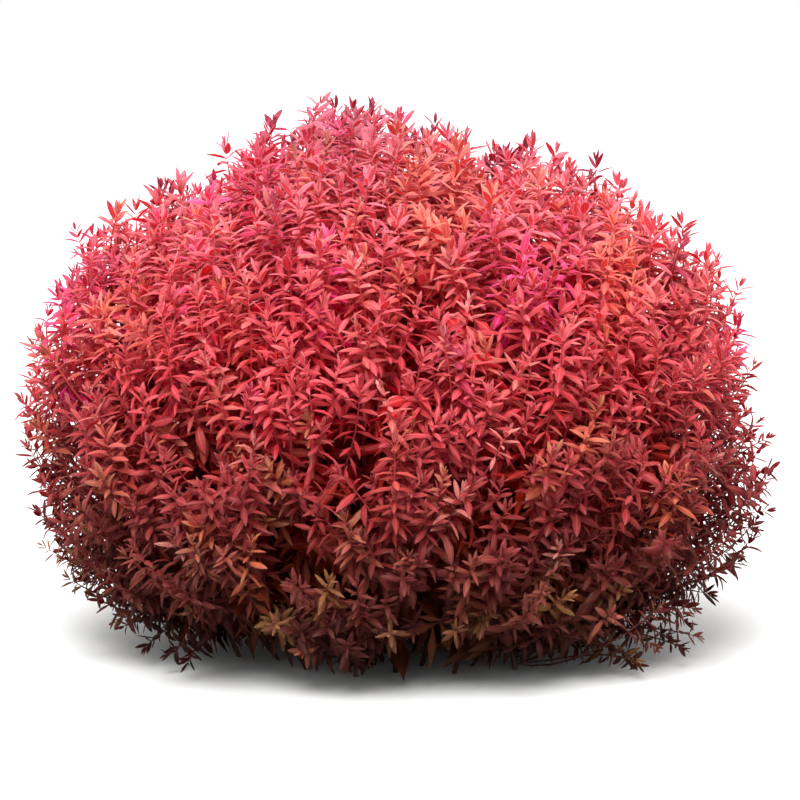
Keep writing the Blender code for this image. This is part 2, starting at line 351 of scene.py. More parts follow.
def alongCurve(points, distances):
    # places and directions on a curve at these distances from its first point
    steps = np.linalg.norm(np.diff(points, axis=0), axis=1)
    run = np.concatenate([[0], np.cumsum(steps)])
    distances = np.clip(distances, 0, run[-1])
    places = np.stack([np.interp(distances, run, points[:, i]) for i in range(3)], axis=1)
    ways = unit(np.gradient(points, run, axis=0))
    ways = unit(np.stack([np.interp(distances, run, ways[:, i]) for i in range(3)], axis=1))
    return places, ways


def curveLength(points):
    return float(np.linalg.norm(np.diff(points, axis=0), axis=1).sum())


# Forms that are made once: the poles of a coarse sphere are the two ends of each

undersideLevel = 0.0001  # a leaf form's underside lies below this
poleReach = 0.01  # a tube form's two ends lie nearer to its axis than this
footLevel = 0.000001  # and its foot below this

# Where a form lies in its cell of the bake map
bakeCell = {"margin": 0.03, "upper": 0.25, "lower": 0.75, "halfLeaf": 0.22, "foot": 0.05, "footDrop": 0.02}


def readForm(mesh, grainPlace, bakePlace):
    # a form's points, face corners, and its places in the two UV maps
    mesh.normal_update()
    mesh.verts.index_update()
    faces = sorted(mesh.faces, key=lambda face: sorted(v.index for v in face.verts))  # alike each run
    corners, sizes, grain, bake = [], [], [], []
    for face in faces:
        sizes.append(len(face.loops))
        for loop in face.loops:
            corners.append(loop.vert.index)
            grain.append(grainPlace(face, loop.vert))
            bake.append(bakePlace(face, loop.vert))
    undersides = [face.calc_center_median().z < undersideLevel for face in faces]
    form = {
        "points": np.array([v.co[:] for v in mesh.verts]),
        "corners": np.array(corners),
        "sizes": np.array(sizes),
        "grain": np.array(grain),
        "bake": np.array(bake),
        "under": np.array(undersides, dtype=float),
    }
    mesh.free()
    return form


def leafForm(stations):
    # across is x from -1 to 1, along is y from 0 to 1, z is up on the midrib and 0 on the edges
    mesh = bmesh.new()
    bmesh.ops.create_uvsphere(mesh, u_segments=3, v_segments=len(stations) + 1, radius=1)
    heights = sorted({round(v.co.z, 4) for v in mesh.verts})
    alongs = [0.0] + [s[0] for s in stations] + [1.0]
    widths = [0.0] + [s[1] for s in stations] + [0.0]
    for vert in mesh.verts:
        ring = heights.index(round(vert.co.z, 4))
        reach = max(math.hypot(vert.co.x, vert.co.y), 1e-6)
        across = round(vert.co.x / reach)
        ridge = round(vert.co.y / reach) == 1
        vert.co = (across * widths[ring], alongs[ring], ridge * widths[ring])
    bmesh.ops.recalc_face_normals(mesh, faces=mesh.faces)

    def grainPlace(face, vert):
        return 0.5 + 0.5 * np.sign(vert.co.x), vert.co.y

    def bakePlace(face, vert):
        isUpper = face.calc_center_median().z > undersideLevel
        middle = bakeCell["upper"] if isUpper else bakeCell["lower"]
        length = 1 - 2 * bakeCell["margin"]
        return middle + bakeCell["halfLeaf"] * vert.co.x, bakeCell["margin"] + length * vert.co.y

    return readForm(mesh, grainPlace, bakePlace)


def tubeForm(sides, rings, flatFoot):
    # x and y on a circle of radius 1, along is z from 0 to 1
    mesh = bmesh.new()
    bmesh.ops.create_uvsphere(mesh, u_segments=sides, v_segments=rings + 1, radius=1)
    heights = sorted({round(v.co.z, 4) for v in mesh.verts})
    last = len(heights) - 1
    for vert in mesh.verts:
        ring = heights.index(round(vert.co.z, 4))
        reach = math.hypot(vert.co.x, vert.co.y)
        if 0 < ring < last:
            vert.co.x /= reach
            vert.co.y /= reach
        along = (ring - 1) / (last - 1) if flatFoot else ring / last
        vert.co.z = max(along, 0)

    def place(face, vert):
        # unrolled, with the middle of the foot a little below its rim
        centre = face.calc_center_median()
        facing = math.atan2(centre.y, centre.x)
        turn, low = 0.0, 0.0
        if math.hypot(vert.co.x, vert.co.y) > poleReach:
            turn = math.remainder(math.atan2(vert.co.y, vert.co.x) - facing, 2 * math.pi)
        elif vert.co.z < 0.5:
            low = bakeCell["footDrop"]
        around = (facing / (2 * math.pi)) % 1 + turn / (2 * math.pi)
        margin, foot = bakeCell["margin"], bakeCell["foot"]
        across = margin + (1 - 2 * margin) * min(max(around, 0), 1)
        return across, foot + (1 - foot - margin) * vert.co.z - low

    return readForm(mesh, place, place)


# Laying the forms out

def layLeaves(form, grown):
    # bends a leaf form to each leaf's own length, width, curl and place
    across, along, ridge = form["points"].T
    length, width, curl = grown["length"][:, None], grown["width"][:, None], grown["curl"][:, None]
    curl = np.where(np.abs(curl) < leaf["leastCurl"], leaf["leastCurl"], curl)
    turn = curl * along
    run = length * np.sin(turn) / curl
    drop = length * (1 - np.cos(turn)) / curl
    rise = ridge * (leaf["thickness"] + width / 2 * math.tan(leaf["fold"]))
    forward = run + rise * np.sin(turn)
    upward = rise * np.cos(turn) - drop
    sideways = across * width / 2
    return (
        grown["base"][:, None]
        + forward[..., None] * grown["out"][:, None]
        + upward[..., None] * grown["up"][:, None]
        + sideways[..., None] * grown["across"][:, None]
    )


def layTube(form, points, footRadius, tipRadius):
    # a tube form along a curve
    places, ways = alongCurve(points, form["points"][:, 2] * curveLength(points))
    first = unit(np.cross(ways, tubeAcross))
    second = np.cross(ways, first)
    radii = footRadius + (tipRadius - footRadius) * form["points"][:, 2]
    return (
        places
        + first * (form["points"][:, 0] * radii)[:, None]
        + second * (form["points"][:, 1] * radii)[:, None]
    )


class Foliage:
    # gathers the laid out forms of one stem and joins them in one mesh

    def __init__(self):
        self.parts = []

    def add(self, form, points, age, share, accent, isStem=False):
        # points holds the places of each copy of the form
        self.parts.append((form, points, age, share, accent, isStem))

    def mesh(self, name):
        copies = sum(len(points) for _, points, *_ in self.parts)
        cells = math.ceil(math.sqrt(copies))
        places, corners, sizes, grain, bake = [], [], [], [], []
        under, materials, ages, shares, accents = [], [], [], [], []
        placed, done = 0, 0
        for form, points, age, share, accent, isStem in self.parts:
            count, size = points.shape[:2]
            places.append(points.reshape(-1, 3))
            starts = placed + size * np.arange(count)
            corners.append((starts[:, None] + form["corners"]).ravel())
            sizes.append(np.tile(form["sizes"], count))
            grain.append(np.tile(form["grain"], (count, 1)))
            cell = done + np.arange(count)
            corner = np.stack([cell % cells, cell // cells], axis=1)
            bake.append(((form["bake"] + corner[:, None]) / cells).reshape(-1, 2))
            under.append(np.tile(form["under"], count))
            materials.append(np.full(count * len(form["sizes"]), int(isStem)))
            ages.append(np.repeat(np.broadcast_to(age, (count,)), size))
            shares.append(np.repeat(np.broadcast_to(share, (count,)), size))
            accents.append(np.repeat(np.broadcast_to(accent, (count, 4)), size, axis=0))
            placed += count * size
            done += count
        places, corners, sizes = map(np.concatenate, (places, corners, sizes))
        mesh = bpy.data.meshes.new(name)
        mesh.vertices.add(len(places))
        mesh.vertices.foreach_set("co", places.ravel().astype(np.float32))
        mesh.loops.add(len(corners))
        mesh.loops.foreach_set("vertex_index", corners.astype(np.int32))
        mesh.polygons.add(len(sizes))
        starts = np.concatenate([[0], np.cumsum(sizes)[:-1]])
        mesh.polygons.foreach_set("loop_start", starts.astype(np.int32))
        mesh.polygons.foreach_set("loop_total", sizes.astype(np.int32))
        mesh.polygons.foreach_set("material_index", np.concatenate(materials).astype(np.int32))
        mesh.update(calc_edges=True)
        for mapName, values in (("grain", grain), ("OFBake", bake)):
            layer = mesh.uv_layers.new(name=mapName)
            layer.data.foreach_set("uv", np.concatenate(values).ravel().astype(np.float32))
        mesh.uv_layers["grain"].active_render = True
        for title, values in (("leafAge", ages), ("leafShare", shares)):
            layer = mesh.attributes.new(title, "FLOAT", "POINT")
            layer.data.foreach_set("value", np.concatenate(values).astype(np.float32))
        layer = mesh.attributes.new("accent", "FLOAT_COLOR", "POINT")
        layer.data.foreach_set("color", np.concatenate(accents).ravel().astype(np.float32))
        layer = mesh.attributes.new("underside", "FLOAT", "FACE")
        layer.data.foreach_set("value", np.concatenate(under).astype(np.float32))
        mesh.shade_smooth()
        mesh.set_sharp_from_angle(angle=leaf["sharpFrom"])
        return mesh


# Growing the shoots

def spread(share, count):
    # factors around 1
    return 1 + chance.normal(0, share, count)


def leafPairs(order):
    # distance below the tip of each pair
    return shoots["firstPair"] + shoots["firstGap"] * order + shoots["gapGrowth"] * order**2


def growLeaves(points, below, order, size=1.0, tone=0.5):
    # the leaves at these distances below a shoot's tip, two by two, each pair a quarter turn on
    length = curveLength(points)
    kept = below < length - shoots["bareFoot"]
    below, order = below[kept], order[kept]
    count = len(order)
    places, ways = alongCurve(points, length - below)
    reference = unit(np.cross(ways[0], leafAcross))
    first = unit(reference - (ways @ reference)[:, None] * ways)
    second = np.cross(ways, first)
    turn = chance.uniform(0, 2 * math.pi) + np.arange(count) * math.pi / 2
    turn = turn + chance.normal(0, shoots["quarterJitter"], count)
    sides = np.concatenate([turn, turn + math.pi])
    places, ways = np.tile(places, (2, 1)), np.tile(ways, (2, 1))
    first, second = np.tile(first, (2, 1)), np.tile(second, (2, 1))
    order = np.tile(order, 2)
    radial = np.cos(sides)[:, None] * first + np.sin(sides)[:, None] * second
    opening = 1 - np.exp(-((order / shoots["levelAfter"]) ** shoots["levelPower"]))
    rise = shoots["steepest"] * (1 - opening)
    rise = rise + shoots["oldDroop"] * opening * order / shoots["pairs"]
    rise = rise + chance.normal(0, shoots["riseJitter"], 2 * count)
    out = np.cos(rise)[:, None] * radial + np.sin(rise)[:, None] * ways
    up = np.cos(rise)[:, None] * ways - np.sin(rise)[:, None] * radial
    across = np.cross(out, up)
    twist = chance.normal(0, shoots["twistJitter"], 2 * count)[:, None]
    turned = np.cos(twist) * across + np.sin(twist) * up
    up = np.cos(twist) * up - np.sin(twist) * across
    grown = 1 - np.exp(-(order + shoots["leafStart"]) / shoots["leafGrowth"])
    lengths = shoots["longestLeaf"] * size * grown * spread(shoots["lengthJitter"], 2 * count)
    young = np.exp(-order / shoots["curlAfter"])
    curl = shoots["youngCurl"] * young + shoots["oldCurl"] * (1 - young)
    return {
        "base": places,
        "out": out,
        "up": up,
        "across": turned,
        "length": lengths,
        "width": lengths * leaf["slimness"] * spread(leaf["slimnessJitter"], 2 * count),
        "curl": curl + chance.normal(0, shoots["curlJitter"], 2 * count),
        "order": order,
        "share": tone + leaf["ownTone"] * (chance.uniform(0, 1, 2 * count) - tone),
    }


def restOnGround(points):
    # bends what comes near the ground, or would go below it, to lie a little above it
    gap, rest = leaf["groundGap"], leaf["restHeight"]
    height = points[..., 2]
    bent = gap + (rest - gap) * np.exp((np.minimum(height, rest) - rest) / (rest - gap))
    points[..., 2] = np.where(height < rest, bent, height)
    return points


def addLeaves(foliage, grown, accent):
    # lays each leaf out with the form of its pair, and leaves out those that leave the mound's box
    low, high = np.array(cadBox[0]), np.array(cadBox[1])
    start = 0
    for upTo, form in leafForms:
        mask = (grown["order"] >= start) & (grown["order"] < upTo)
        start = upTo
        some = {name: values[mask] for name, values in grown.items()}
        if not mask.any():
            continue
        points = restOnGround(layLeaves(form, some))
        inside = ((points > low) & (points < high)).all(axis=(1, 2))
        order = some["order"][inside]
        colours = np.tile((*accent["colour"], accent["amount"]), (len(order), 1))
        colours[:, 3] *= np.exp(-order / accent["fade"])
        foliage.add(form, points[inside], order / shoots["pairs"], some["share"][inside], colours)


leafForms = [(form["upTo"], leafForm(form["rings"])) for form in leaf["forms"]]
shootTube = tubeForm(shoots["sides"], shoots["rings"], flatFoot=False)
stemTube = tubeForm(stems["sides"], stems["rings"], flatFoot=True)
print("forms made")


def planStems():
    found = []
    for index, (angle, azimuth) in enumerate(spiralPlaces(stems["count"])):
        top = onMound(angle, azimuth, stemSwells)
        way = growthWay(angle, azimuth, stems["leanPower"])
        fork = top - way * stems["forkDepth"]
        route = bendCurve(footPlace(index, azimuth), fork, way)
        depth = shoots["clumpDepth"] * chance.uniform()
        found.append({"top": top, "way": way, "route": route, "depth": depth, "tips": []})
    return found


def nearest(tops, place):
    return int(np.argmin(np.linalg.norm(tops - place, axis=1)))


def planShoots(planned):
    # gives each stem the shoots whose tips are nearest its own top
    tops = np.array([s["top"] for s in planned])
    gap = np.array(shoots["boxGap"])
    low, high = np.array(cadBox[0]) + gap, np.array(cadBox[1]) - gap
    low[2] = shoots["lowestTip"]
    for angle, azimuth in spiralPlaces(shoots["count"]):
        place = onMound(angle, azimuth, tipSwells)
        bare = shoots["thinning"] * (1 - place[2] / shoots["thinBelow"]) * math.sin(azimuth) ** 2
        if chance.uniform() < bare:
            continue
        way = growthWay(angle, azimuth, shoots["leanPower"])
        owner = planned[nearest(tops, place)]
        aside = chance.normal(0, shoots["placeJitter"], 3) + shoots["clumping"] * (owner["top"] - place)
        depth, pairs = tipDepth(angle, azimuth)
        tip = place + aside - way * (aside @ way + depth + owner["depth"])
        way = unit(way + chance.normal(0, math.tan(shoots["leanJitter"]), 3))
        tip = np.clip(tip, low, high)
        if tip[0] > sideDip["beyond"]:
            away = (tip[2] - sideDip["height"]) / sideDip["spread"]
            tip[0] -= sideDip["depth"] * math.exp(-(away**2))
        owner["tips"].append({"tip": tip, "way": way, "pairs": pairs, "accent": pickAccent(tip)})
    for spray in sprays:
        tip, way = np.array(spray["tip"]), unit(np.array(spray["way"]))
        accent = accents[spray["accent"]] if "accent" in spray else pickAccent(tip)
        owner = planned[nearest(tops, tip)]
        owner["tips"].append({"tip": tip, "way": way, "pairs": shoots["openPairs"][1], "accent": accent})


def tipDepth(angle, azimuth):
    # how far below the mound's surface a shoot ends, and how many pairs of leaves it has kept
    loose = math.exp(-(((angle - shoots["looseAngle"]) / shoots["looseSpread"]) ** 2))
    side = loose * math.cos(azimuth) ** 2
    if chance.uniform() < shoots["openShare"] * side:
        return chance.uniform(*shoots["openReach"]), int(chance.integers(*shoots["openPairs"]))
    if chance.uniform() < shoots["strayShare"]:
        return -shoots["strayReach"] * chance.uniform(), shoots["pairs"]
    deepest = shoots["deepestTip"] + shoots["looseFront"] * loose + shoots["looseSides"] * side
    return shoots["inset"] + deepest * chance.uniform() ** shoots["depthPower"], shoots["pairs"]


def planSideShoots(route):
    # bends that leave a main stem all round and turn up, where the mound's inside has room
    places, ways = alongCurve(
        route, np.arange(sideShoots["bareFoot"], curveLength(route), sideShoots["spacing"])
    )
    found = []
    for step, (place, way) in enumerate(zip(places, ways)):
        facing = step * goldenTurn + place[0] * sideShoots["turnAlongX"]
        facingWay = (math.cos(facing), math.sin(facing), sideShoots["facingRise"])
        aside = unit(np.cross(way, facingWay))
        out = aside * math.sin(sideShoots["lean"]) + way * math.cos(sideShoots["lean"])
        tip = place + out * chance.uniform(*sideShoots["length"])
        reach = math.hypot(tip[0] / mound["halfWidth"], tip[1] / mound["halfDepth"])
        drop = np.clip((mound["widestHeight"] - tip[2]) / mound["undercutDrop"], 0, 1)
        climb = np.clip((tip[2] - mound["widestHeight"]) / mound["crownRise"], 0, 1)
        room = sideShoots["widestShare"] * math.sqrt((1 - drop**2) * (1 - climb**2))
        if reach < room and tip[2] > sideShoots["lowest"]:
            found.append(bendCurve(place, tip, unit(out + (0, 0, sideShoots["upturn"]))))
    return found


# Tints of the shoots

# Tints that some shoots have over their leaves' own colour: likely is their share low in the
# mound, halfway up and at the crown, and fade the pairs over which the tint dies away
accents = {
    "hotPink": {"colour": (0.86, 0.011, 0.165), "amount": 0.88, "fade": 60, "likely": (0.00, 0.00, 0.01)},
    "cherry": {"colour": (0.66, 0.010, 0.088), "amount": 0.92, "fade": 60, "likely": (0.00, 0.00, 0.08)},
    "purple": {"colour": (0.30, 0.010, 0.056), "amount": 0.92, "fade": 60, "likely": (0.00, 0.00, 0.03)},
    "orange": {"colour": (0.88, 0.17, 0.03), "amount": 0.65, "fade": 8, "likely": (0.00, 0.03, 0.09)},
    "salmon": {"colour": (0.90, 0.26, 0.20), "amount": 0.50, "fade": 10, "likely": (0.00, 0.12, 0.20)},
    "rust": {"colour": (0.46, 0.085, 0.040), "amount": 0.66, "fade": 8, "likely": (0.16, 0.08, 0.00)},
    "tan": {"colour": (0.52, 0.180, 0.065), "amount": 0.66, "fade": 7, "likely": (0.10, 0.02, 0.00)},
    "olive": {"colour": (0.34, 0.160, 0.020), "amount": 0.62, "fade": 7, "likely": (0.10, 0.02, 0.01)},
}
noAccent = {"colour": (0, 0, 0), "amount": 0.0, "fade": 1.0}
likelyAt = (0.15, 0.5, 0.85)  # those three heights, as shares of the mound's
rearCrown = {"behind": 0.01, "above": 0.20, "accent": "purple", "share": 0.50}

# Patches where one tint gathers: x and z of their middles, and how far back they go
patchesEnd = 0.04
accentPatches = (
    {"at": (-0.037, 0.222), "reach": 0.012, "accent": "hotPink", "share": 0.6},
    {"at": (0.070, 0.205), "reach": 0.018, "accent": "hotPink", "share": 0.8},
    {"at": (0.171, 0.158), "reach": 0.012, "accent": "hotPink", "share": 0.8},
    {"at": (-0.152, 0.194), "reach": 0.018, "accent": "cherry", "share": 0.7},
    {"at": (-0.160, 0.187), "reach": 0.012, "accent": "hotPink", "share": 0.9},
    {"at": (-0.068, 0.252), "reach": 0.018, "accent": "cherry", "share": 0.7},
    {"at": (0.024, 0.238), "reach": 0.021, "accent": "orange", "share": 0.75},
    {"at": (-0.061, 0.214), "reach": 0.015, "accent": "orange", "share": 0.6},
    {"at": (0.105, 0.208), "reach": 0.012, "accent": "orange", "share": 0.8},
    {"at": (-0.133, 0.186), "reach": 0.012, "accent": "orange", "share": 0.7},
)


def pickAccent(tip):
    # the tint of a shoot: that of the patch it stands in, or else by chance
    for patch in accentPatches:
        away = np.hypot(tip[0] - patch["at"][0], tip[2] - patch["at"][1])
        if away < patch["reach"] and tip[1] < patchesEnd and chance.uniform() < patch["share"]:
            return accents[patch["accent"]]
    height = tip[2] / cadBox[1][2]
    left = chance.uniform()
    if tip[1] > rearCrown["behind"] and tip[2] > rearCrown["above"] and left < rearCrown["share"]:
        return accents[rearCrown["accent"]]
    for accent in accents.values():
        likely = np.interp(height, likelyAt, accent["likely"])
        if left < likely:
            return accent
        left -= likely
    return noAccent


def addTube(foliage, form, points, age):
    # tubes carry no tint
    foliage.add(form, points[None], age, chance.uniform(), (0.0, 0.0, 0.0, 0.0), isStem=True)


def layShoot(points):
    return restOnGround(layTube(shootTube, points, shoots["footRadius"], shoots["tipRadius"]))


def addMainStem(foliage, route):
    tube = layTube(stemTube, route, stems["footRadius"], stems["forkRadius"])
    isFoot = stemTube["points"][:, 2] < footLevel
    tube[:, 2] = np.where(isFoot, 0, tube[:, 2])  # cut off flat
    addTube(foliage, stemTube, tube, 1.0)
    below = np.arange(stems["bareTop"], curveLength(route) - stems["bareFoot"], stems["leafSpacing"])
    order = np.full(len(below), shoots["pairs"])
    addLeaves(foliage, growLeaves(route, below, order, stems["leafSize"]), accents["olive"])


def addSideShoots(foliage, route):
    order = np.arange(sideShoots["pairs"])
    older = order + sideShoots["youngest"]
    for points in planSideShoots(route):
        addTube(foliage, shootTube, layShoot(points), 1.0)
        grown = growLeaves(points, leafPairs(order), older, sideShoots["leafSize"])
        addLeaves(foliage, grown, accents["olive"])


def addShoots(foliage, stem):
    # shoots that end farther out leave the stem farther down
    routeLength = curveLength(stem["route"])
    widest = max(np.linalg.norm(shoot["tip"] - stem["top"]) for shoot in stem["tips"])
    for shoot in stem["tips"]:
        aside = np.linalg.norm(np.cross(shoot["tip"] - stem["top"], stem["way"])) / widest
        byChance = shoots["branchChance"]
        back = shoots["branchReach"] * ((1 - byChance) * aside + byChance * chance.uniform())
        start = alongCurve(stem["route"], np.array([routeLength - back]))[0][0]
        points = bendCurve(start, shoot["tip"], shoot["way"])
        if curveLength(points) < shoots["shortest"]:
            continue
        addTube(foliage, shootTube, layShoot(points), 0.5)
        order = np.arange(shoot["pairs"])
        size = np.interp(shoot["tip"][2], shoots["sizeHeights"], shoots["sizeShares"])
        size *= 1 + shoots["sizeJitter"] * np.clip(chance.normal(), *shoots["sizeJitterLimits"])
        grown = growLeaves(points, leafPairs(order), order, size, chance.uniform())
        addLeaves(foliage, grown, shoot["accent"])


def growStem(index, stem):
    foliage = Foliage()
    addMainStem(foliage, stem["route"])
    addSideShoots(foliage, stem["route"])
    addShoots(foliage, stem)
    name = f"leafy_stem_{index + 1:02d}"
    return foliage.mesh(name + "_foliage"), name


# Materials

def addNode(tree, kind, x, y, **values):
    node = tree.nodes.new(kind)
    node.location = (x, y)
    for key, value in values.items():
        setattr(node, key, value)
    return node


# The leaves' colour at each height, from the dark foot to the pink crown: the darkening towards the foot
# is partly the older leaves' own colour and partly painted shade, standing in for the shade under the
# overhang and inside the mound
heightColoursAndShade = (
    (0.012, (0.036, 0.009, 0.006, 1)),
    (0.042, (0.105, 0.016, 0.010, 1)),
    (0.066, (0.170, 0.017, 0.013, 1)),
    (0.104, (0.360, 0.018, 0.021, 1)),
    (0.146, (0.670, 0.031, 0.048, 1)),
    (0.187, (0.780, 0.046, 0.072, 1)),
    (0.226, (0.840, 0.088, 0.128, 1)),
    (0.250, (0.710, 0.090, 0.138, 1)),
    (0.268, (0.600, 0.086, 0.148, 1)),
)

finishes = {
    "coral_leaf": {"dullness": 0.38, "translucency": 0.6},
    "crimson_leaf": {"dullness": 0.40, "translucency": 0.6},
    "maroon_leaf": {"dullness": 0.44, "translucency": 0.4},
}

leafLook = {
    # older leaves sit deeper in the mound: lifting their lightness and saturation is painted light,
    # standing in for the red glow between leaves; the paler young tips are partly their own colour and
    # partly painted highlight
    "ageLightnessAndGlow": (1.02, 1.12),  # from young to old
    "ageSaturationAndGlow": (0.91, 1.10),
    "ownLightness": (0.60, 1.34),  # from the darkest leaf to the lightest
    "ownDullness": 0.14,
    "ribEdge": 0.11,  # half its width, over the leaf's, and how near the middle it is full
    "ribMiddle": 0.02,
    "ribShare": 0.38,
    "ribSaturation": 0.86,
    "ribLightness": 1.7,
    # painted shade: undersides are multiplied towards a darker, deeper red, standing in for the shade they
    # face
    "undersideShadeShare": 0.45,
    "undersideShade": (0.72, 0.30, 0.50, 1),
    "gloss": 0.15,
    "glowColours": (1.0, 0.25, 0.25),  # how far each colour goes in the blade, over glowDepth
    "glowDepth": 0.003,
    "reliefStrength": 0.3,
    "reliefDepth": 0.0004,
}

stemLook = {
    "dullness": 0.5,
    "footHeight": 0.02,
    "footColour": (0.10, 0.03, 0.02, 1),
    "topHeight": 0.16,
    "topColour": (0.66, 0.06, 0.07, 1),
}


def feed(tree, value, socket):
    # a link from another node, or a value of the socket's own
    if isinstance(value, bpy.types.NodeSocket):
        tree.links.new(value, socket)
    else:
        socket.default_value = value


def calculate(tree, operation, x, y, first, second=0.0):
    node = addNode(tree, "ShaderNodeMath", x, y, operation=operation)
    feed(tree, first, node.inputs[0])
    feed(tree, second, node.inputs[1])
    return node.outputs[0]


def stretch(tree, x, y, value, ends):
    # from 0 and 1 to these ends
    node = addNode(tree, "ShaderNodeMapRange", x, y)
    feed(tree, value, node.inputs["Value"])
    feed(tree, ends[0], node.inputs["To Min"])
    feed(tree, ends[1], node.inputs["To Max"])
    return node.outputs["Result"]


def mixColours(tree, x, y, share, first, second, blend="MIX"):
    node = addNode(tree, "ShaderNodeMix", x, y, data_type="RGBA", blend_type=blend)
    feed(tree, share, node.inputs["Factor"])
    feed(tree, first, node.inputs["A"])
    feed(tree, second, node.inputs["B"])
    return node.outputs["Result"]


def shiftColour(tree, x, y, colour, saturation, lightness):
    node = addNode(tree, "ShaderNodeHueSaturation", x, y)
    feed(tree, colour, node.inputs["Color"])
    feed(tree, saturation, node.inputs["Saturation"])
    feed(tree, lightness, node.inputs["Value"])
    return node.outputs["Color"]


def heightOf(tree, x, y):
    coords = addNode(tree, "ShaderNodeTexCoord", x, y)
    split = addNode(tree, "ShaderNodeSeparateXYZ", x + 200, y)
    tree.links.new(coords.outputs["Object"], split.inputs[0])
    return split.outputs["Z"]


# the leaf colour by height, with painted shade towards the foot
def colourAndShadeAtHeight(group):
    top = heightColoursAndShade[-1][0]
    share = addNode(group, "ShaderNodeMapRange", -1000, 300)
    share.inputs["From Max"].default_value = top
    group.links.new(heightOf(group, -1400, 300), share.inputs["Value"])
    ramp = addNode(group, "ShaderNodeValToRGB", -800, 200)
    stops = ramp.color_ramp.elements
    for place, (level, colour) in enumerate(heightColoursAndShade):
        stop = stops[place] if place < 2 else stops.new(level / top)
        stop.position = level / top
        stop.color = colour
    group.links.new(share.outputs["Result"], ramp.inputs["Fac"])
    return ramp.outputs["Color"]


def awayFromRib(group):
    # 0 on the midrib and 0.5 on the leaf's edges
    grain = addNode(group, "ShaderNodeUVMap", -1200, -800, uv_map="grain")
    split = addNode(group, "ShaderNodeSeparateXYZ", -1000, -800)
    group.links.new(grain.outputs["UV"], split.inputs[0])
    centred = calculate(group, "SUBTRACT", -800, -800, split.outputs["X"], 0.5)
    return calculate(group, "ABSOLUTE", -600, -800, centred)


def leafColours():
    # colour and relief of a leaf, from its height, age, shoot and place across the blade; it carries
    # painted shade towards the foot and on the undersides, and painted glow on the older, inner leaves
    group = bpy.data.node_groups.new("leafColours", "ShaderNodeTree")
    sockets = group.interface
    sockets.new_socket("Dullness", in_out="INPUT", socket_type="NodeSocketFloat")
    sockets.new_socket("Colour", in_out="OUTPUT", socket_type="NodeSocketColor")
    sockets.new_socket("Roughness", in_out="OUTPUT", socket_type="NodeSocketFloat")
    sockets.new_socket("Relief", in_out="OUTPUT", socket_type="NodeSocketFloat")
    given = addNode(group, "NodeGroupInput", -200, -500)
    result = addNode(group, "NodeGroupOutput", 600, 0)

    def own(title, x, y):
        return addNode(group, "ShaderNodeAttribute", x, y, attribute_name=title)

    accent = own("accent", -1000, -100)
    age = own("leafAge", -800, -300).outputs["Fac"]
    share = own("leafShare", -800, -500).outputs["Fac"]
    underside = own("underside", -400, 300).outputs["Fac"]

    # the height ramp darkens towards the foot: partly the leaves' own colour, partly painted shade
    base = colourAndShadeAtHeight(group)
    tinted = mixColours(group, -600, 100, accent.outputs["Alpha"], base, accent.outputs["Color"])
    # painted light: older, inner leaves are made lighter and more saturated in place of the red glow
    # between leaves
    glowByAge = stretch(group, -600, -300, age, leafLook["ageLightnessAndGlow"])
    byShoot = stretch(group, -600, -500, share, leafLook["ownLightness"])
    lightness = calculate(group, "MULTIPLY", -400, -400, glowByAge, byShoot)
    saturation = stretch(group, -600, -100, age, leafLook["ageSaturationAndGlow"])
    blade = shiftColour(group, -200, 0, tinted, saturation, lightness)

    # painted shade on the undersides: a darker, deeper red
    turned = calculate(group, "MULTIPLY", -200, 300, underside, leafLook["undersideShadeShare"])
    blade = mixColours(group, 0, 200, turned, blade, leafLook["undersideShade"], "MULTIPLY")

    away = awayFromRib(group)
    rib = addNode(group, "ShaderNodeMapRange", -400, -800, interpolation_type="SMOOTHSTEP")
    feed(group, away, rib.inputs["Value"])
    feed(group, leafLook["ribEdge"], rib.inputs["From Min"])
    feed(group, leafLook["ribMiddle"], rib.inputs["From Max"])
    onRib = calculate(group, "MULTIPLY", -200, -800, rib.outputs["Result"], leafLook["ribShare"])
    lighter = shiftColour(group, 200, -100, blade, leafLook["ribSaturation"], leafLook["ribLightness"])

    dulled = calculate(group, "MULTIPLY", -200, -300, share, leafLook["ownDullness"])
    dullness = calculate(group, "ADD", 0, -300, dulled, given.outputs["Dullness"])
    feed(group, mixColours(group, 400, 0, onRib, blade, lighter), result.inputs["Colour"])
    feed(group, dullness, result.inputs["Roughness"])
    feed(group, away, result.inputs["Relief"])
    return group


def leafMaterial(name, finish, group):
    material = bpy.data.materials.new(name)
    material.use_nodes = True
    tree = material.node_tree
    shader = tree.nodes["Principled BSDF"]
    shader.inputs["Specular IOR Level"].default_value = leafLook["gloss"]
    shader.inputs["Subsurface Weight"].default_value = finish["translucency"]
    shader.inputs["Subsurface Radius"].default_value = leafLook["glowColours"]
    shader.inputs["Subsurface Scale"].default_value = leafLook["glowDepth"]
    colours = addNode(tree, "ShaderNodeGroup", -500, 0)
    colours.node_tree = group
    colours.inputs["Dullness"].default_value = finish["dullness"]
    bump = addNode(tree, "ShaderNodeBump", -250, -300)
    bump.inputs["Strength"].default_value = leafLook["reliefStrength"]
    bump.inputs["Distance"].default_value = leafLook["reliefDepth"]
    tree.links.new(colours.outputs["Colour"], shader.inputs["Base Color"])
    tree.links.new(colours.outputs["Roughness"], shader.inputs["Roughness"])
    tree.links.new(colours.outputs["Relief"], bump.inputs["Height"])
    tree.links.new(bump.outputs["Normal"], shader.inputs["Normal"])
    return material


